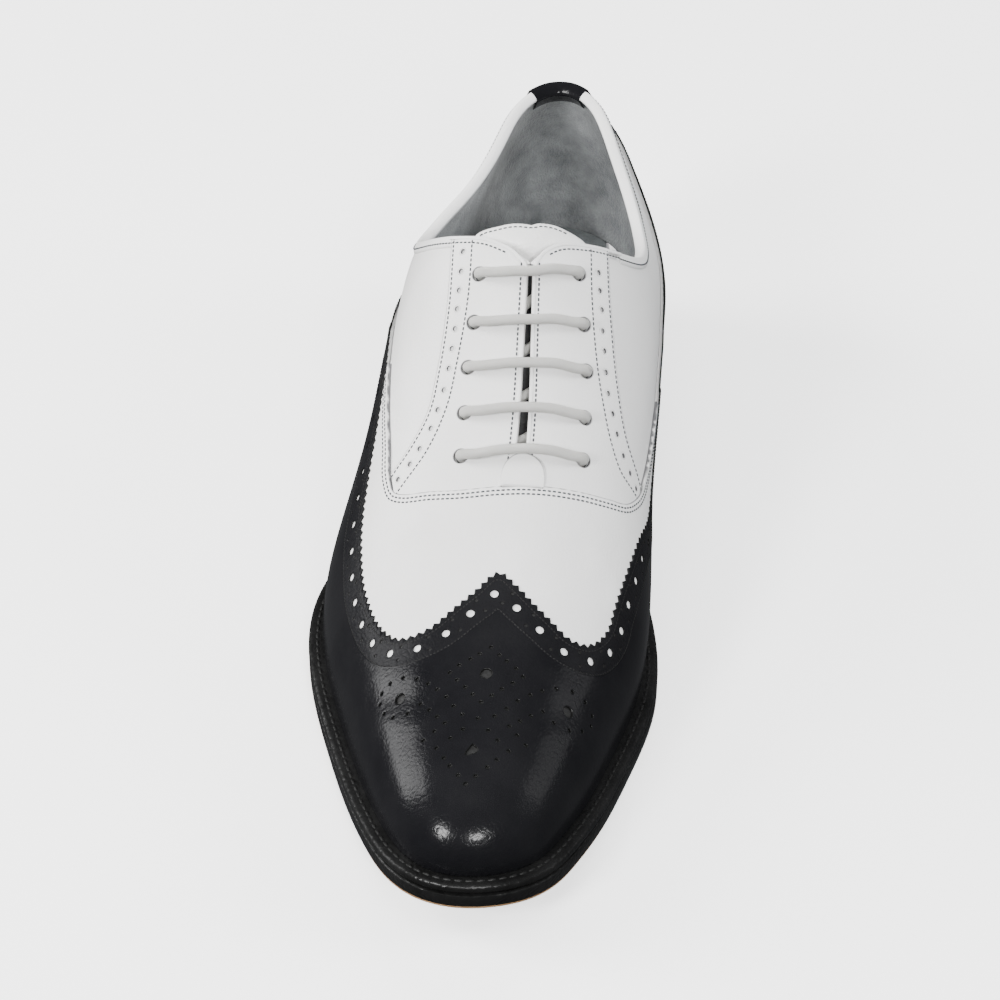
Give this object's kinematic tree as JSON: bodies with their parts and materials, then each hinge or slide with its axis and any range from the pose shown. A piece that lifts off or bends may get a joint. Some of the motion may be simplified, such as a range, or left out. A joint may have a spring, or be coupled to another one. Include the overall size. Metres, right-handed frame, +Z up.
{
  "type": "spectator shoe",
  "caption": "Right two-tone spectator dress shoe: black wing tip and heel counter on white leather, closed lacing with straight bars, welted leather sole and stacked heel, standing empty.",
  "frame": {"origin": "centre of the shoe's box at floor level, under the sole", "axes": "+Y from the toe to the heel, +X towards the wearer's inner side, +Z up from the floor"},
  "size_m": [0.1083, 0.3002, 0.1145],
  "materials": {
    "white_leather": "satin",
    "black_leather": "gloss",
    "tongue_leather": "satin",
    "lining_leather": "matte",
    "insole_leather": "matte",
    "stitch_thread": "matte",
    "sole_edge": "satin",
    "sole_leather": "satin",
    "heel_rubber": "matte",
    "lace_cotton": "matte"
  },
  "bodies": {
    "root": {"upper": "white_leather", "vamp": "white_leather", "eyestay_lateral": "white_leather", "eyestay_medial": "white_leather", "throat_tab": "white_leather", "wing_cap": "black_leather", "heel_counter": "black_leather", "back_strip": "black_leather", "tongue": "tongue_leather", "lace": "lace_cotton", "insole": "insole_leather", "welt": "sole_edge", "outsole": "sole_leather", "heel_stack": "sole_edge", "top_piece": "heel_rubber"}
  },
  "joints": []
}
